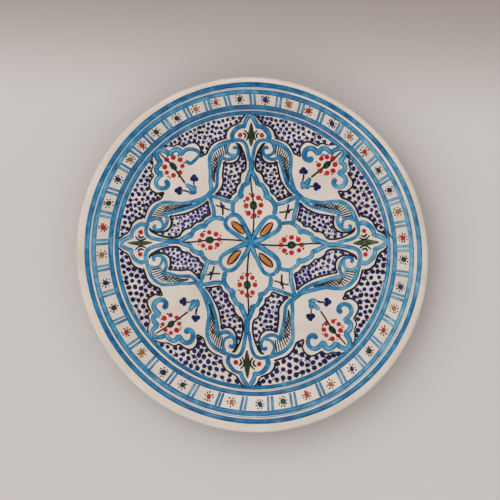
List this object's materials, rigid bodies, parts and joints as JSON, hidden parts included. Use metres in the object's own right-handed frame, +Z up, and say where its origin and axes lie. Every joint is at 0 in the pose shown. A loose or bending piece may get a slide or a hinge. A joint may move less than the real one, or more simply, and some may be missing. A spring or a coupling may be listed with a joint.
{
  "type": "painted plate",
  "caption": "Round shallow earthenware plate on a foot ring, cream glazed and painted with blue bands, a floret frieze and a four-petal scroll design.",
  "frame": {"origin": "centre of the foot ring's resting face", "axes": "+Z up through the plate's middle, +Y towards the top of the painted design"},
  "size_m": [0.3, 0.3, 0.0248],
  "materials": {
    "fired_clay": "bare fired earthenware, fine grained, matt",
    "tin_glaze": "warm cream opaque tin glaze, glossy, with faint wheel marks",
    "blue_pigment": "light blue brushed pigment under the glaze's gloss, streaked",
    "navy_pigment": "deep cobalt touches, pooled darker at the rim of each",
    "red_pigment": "thick warm red touches, satin",
    "green_pigment": "dark olive green touches, glossy",
    "ochre_pigment": "orange ochre touches, glossy",
    "black_pigment": "fine brown black liner strokes"
  },
  "bodies": {
    "root": {"almond_leaves": "ochre_pigment", "almond_outlines": "black_pigment", "axis_finials": "blue_pigment", "back_glaze": "tin_glaze", "clay_body": "fired_clay", "corner_eyes": "green_pigment", "corner_florets": "red_pigment", "corner_heart_leaves": "navy_pigment", "corner_medallions": "blue_pigment", "corner_specks": "black_pigment", "corner_stems": "black_pigment", "corner_v_marks": "blue_pigment", "face_glaze": "tin_glaze", "finial_dots": "red_pigment", "finial_spindles": "green_pigment", "foot_well_glaze": "tin_glaze", "frieze_bars": "blue_pigment", "frieze_florets_green": "green_pigment", "frieze_florets_navy": "navy_pigment", "frieze_florets_ochre": "ochre_pigment", "frieze_florets_red": "red_pigment", "frieze_specks": "black_pigment", "heart_star": "blue_pigment", "inner_band": "blue_pigment", "lattice_crosses": "black_pigment", "lattice_squares": "blue_pigment", "lattice_studs": "navy_pigment", "leaf_outlines": "blue_pigment", "outer_band": "blue_pigment", "panel_grounds": "navy_pigment", "panel_outlines": "black_pigment", "petal_eyes": "green_pigment", "petal_florets": "red_pigment", "petal_outlines": "blue_pigment", "petal_specks": "black_pigment", "petal_veins": "black_pigment", "ribbon_hatching": "black_pigment", "scroll_ribbons": "blue_pigment", "scroll_trunks": "blue_pigment", "second_band": "blue_pigment", "spandrel_grounds": "navy_pigment", "spandrel_outlines": "black_pigment", "spindle_arcs": "black_pigment", "third_band": "blue_pigment"}
  },
  "joints": []
}
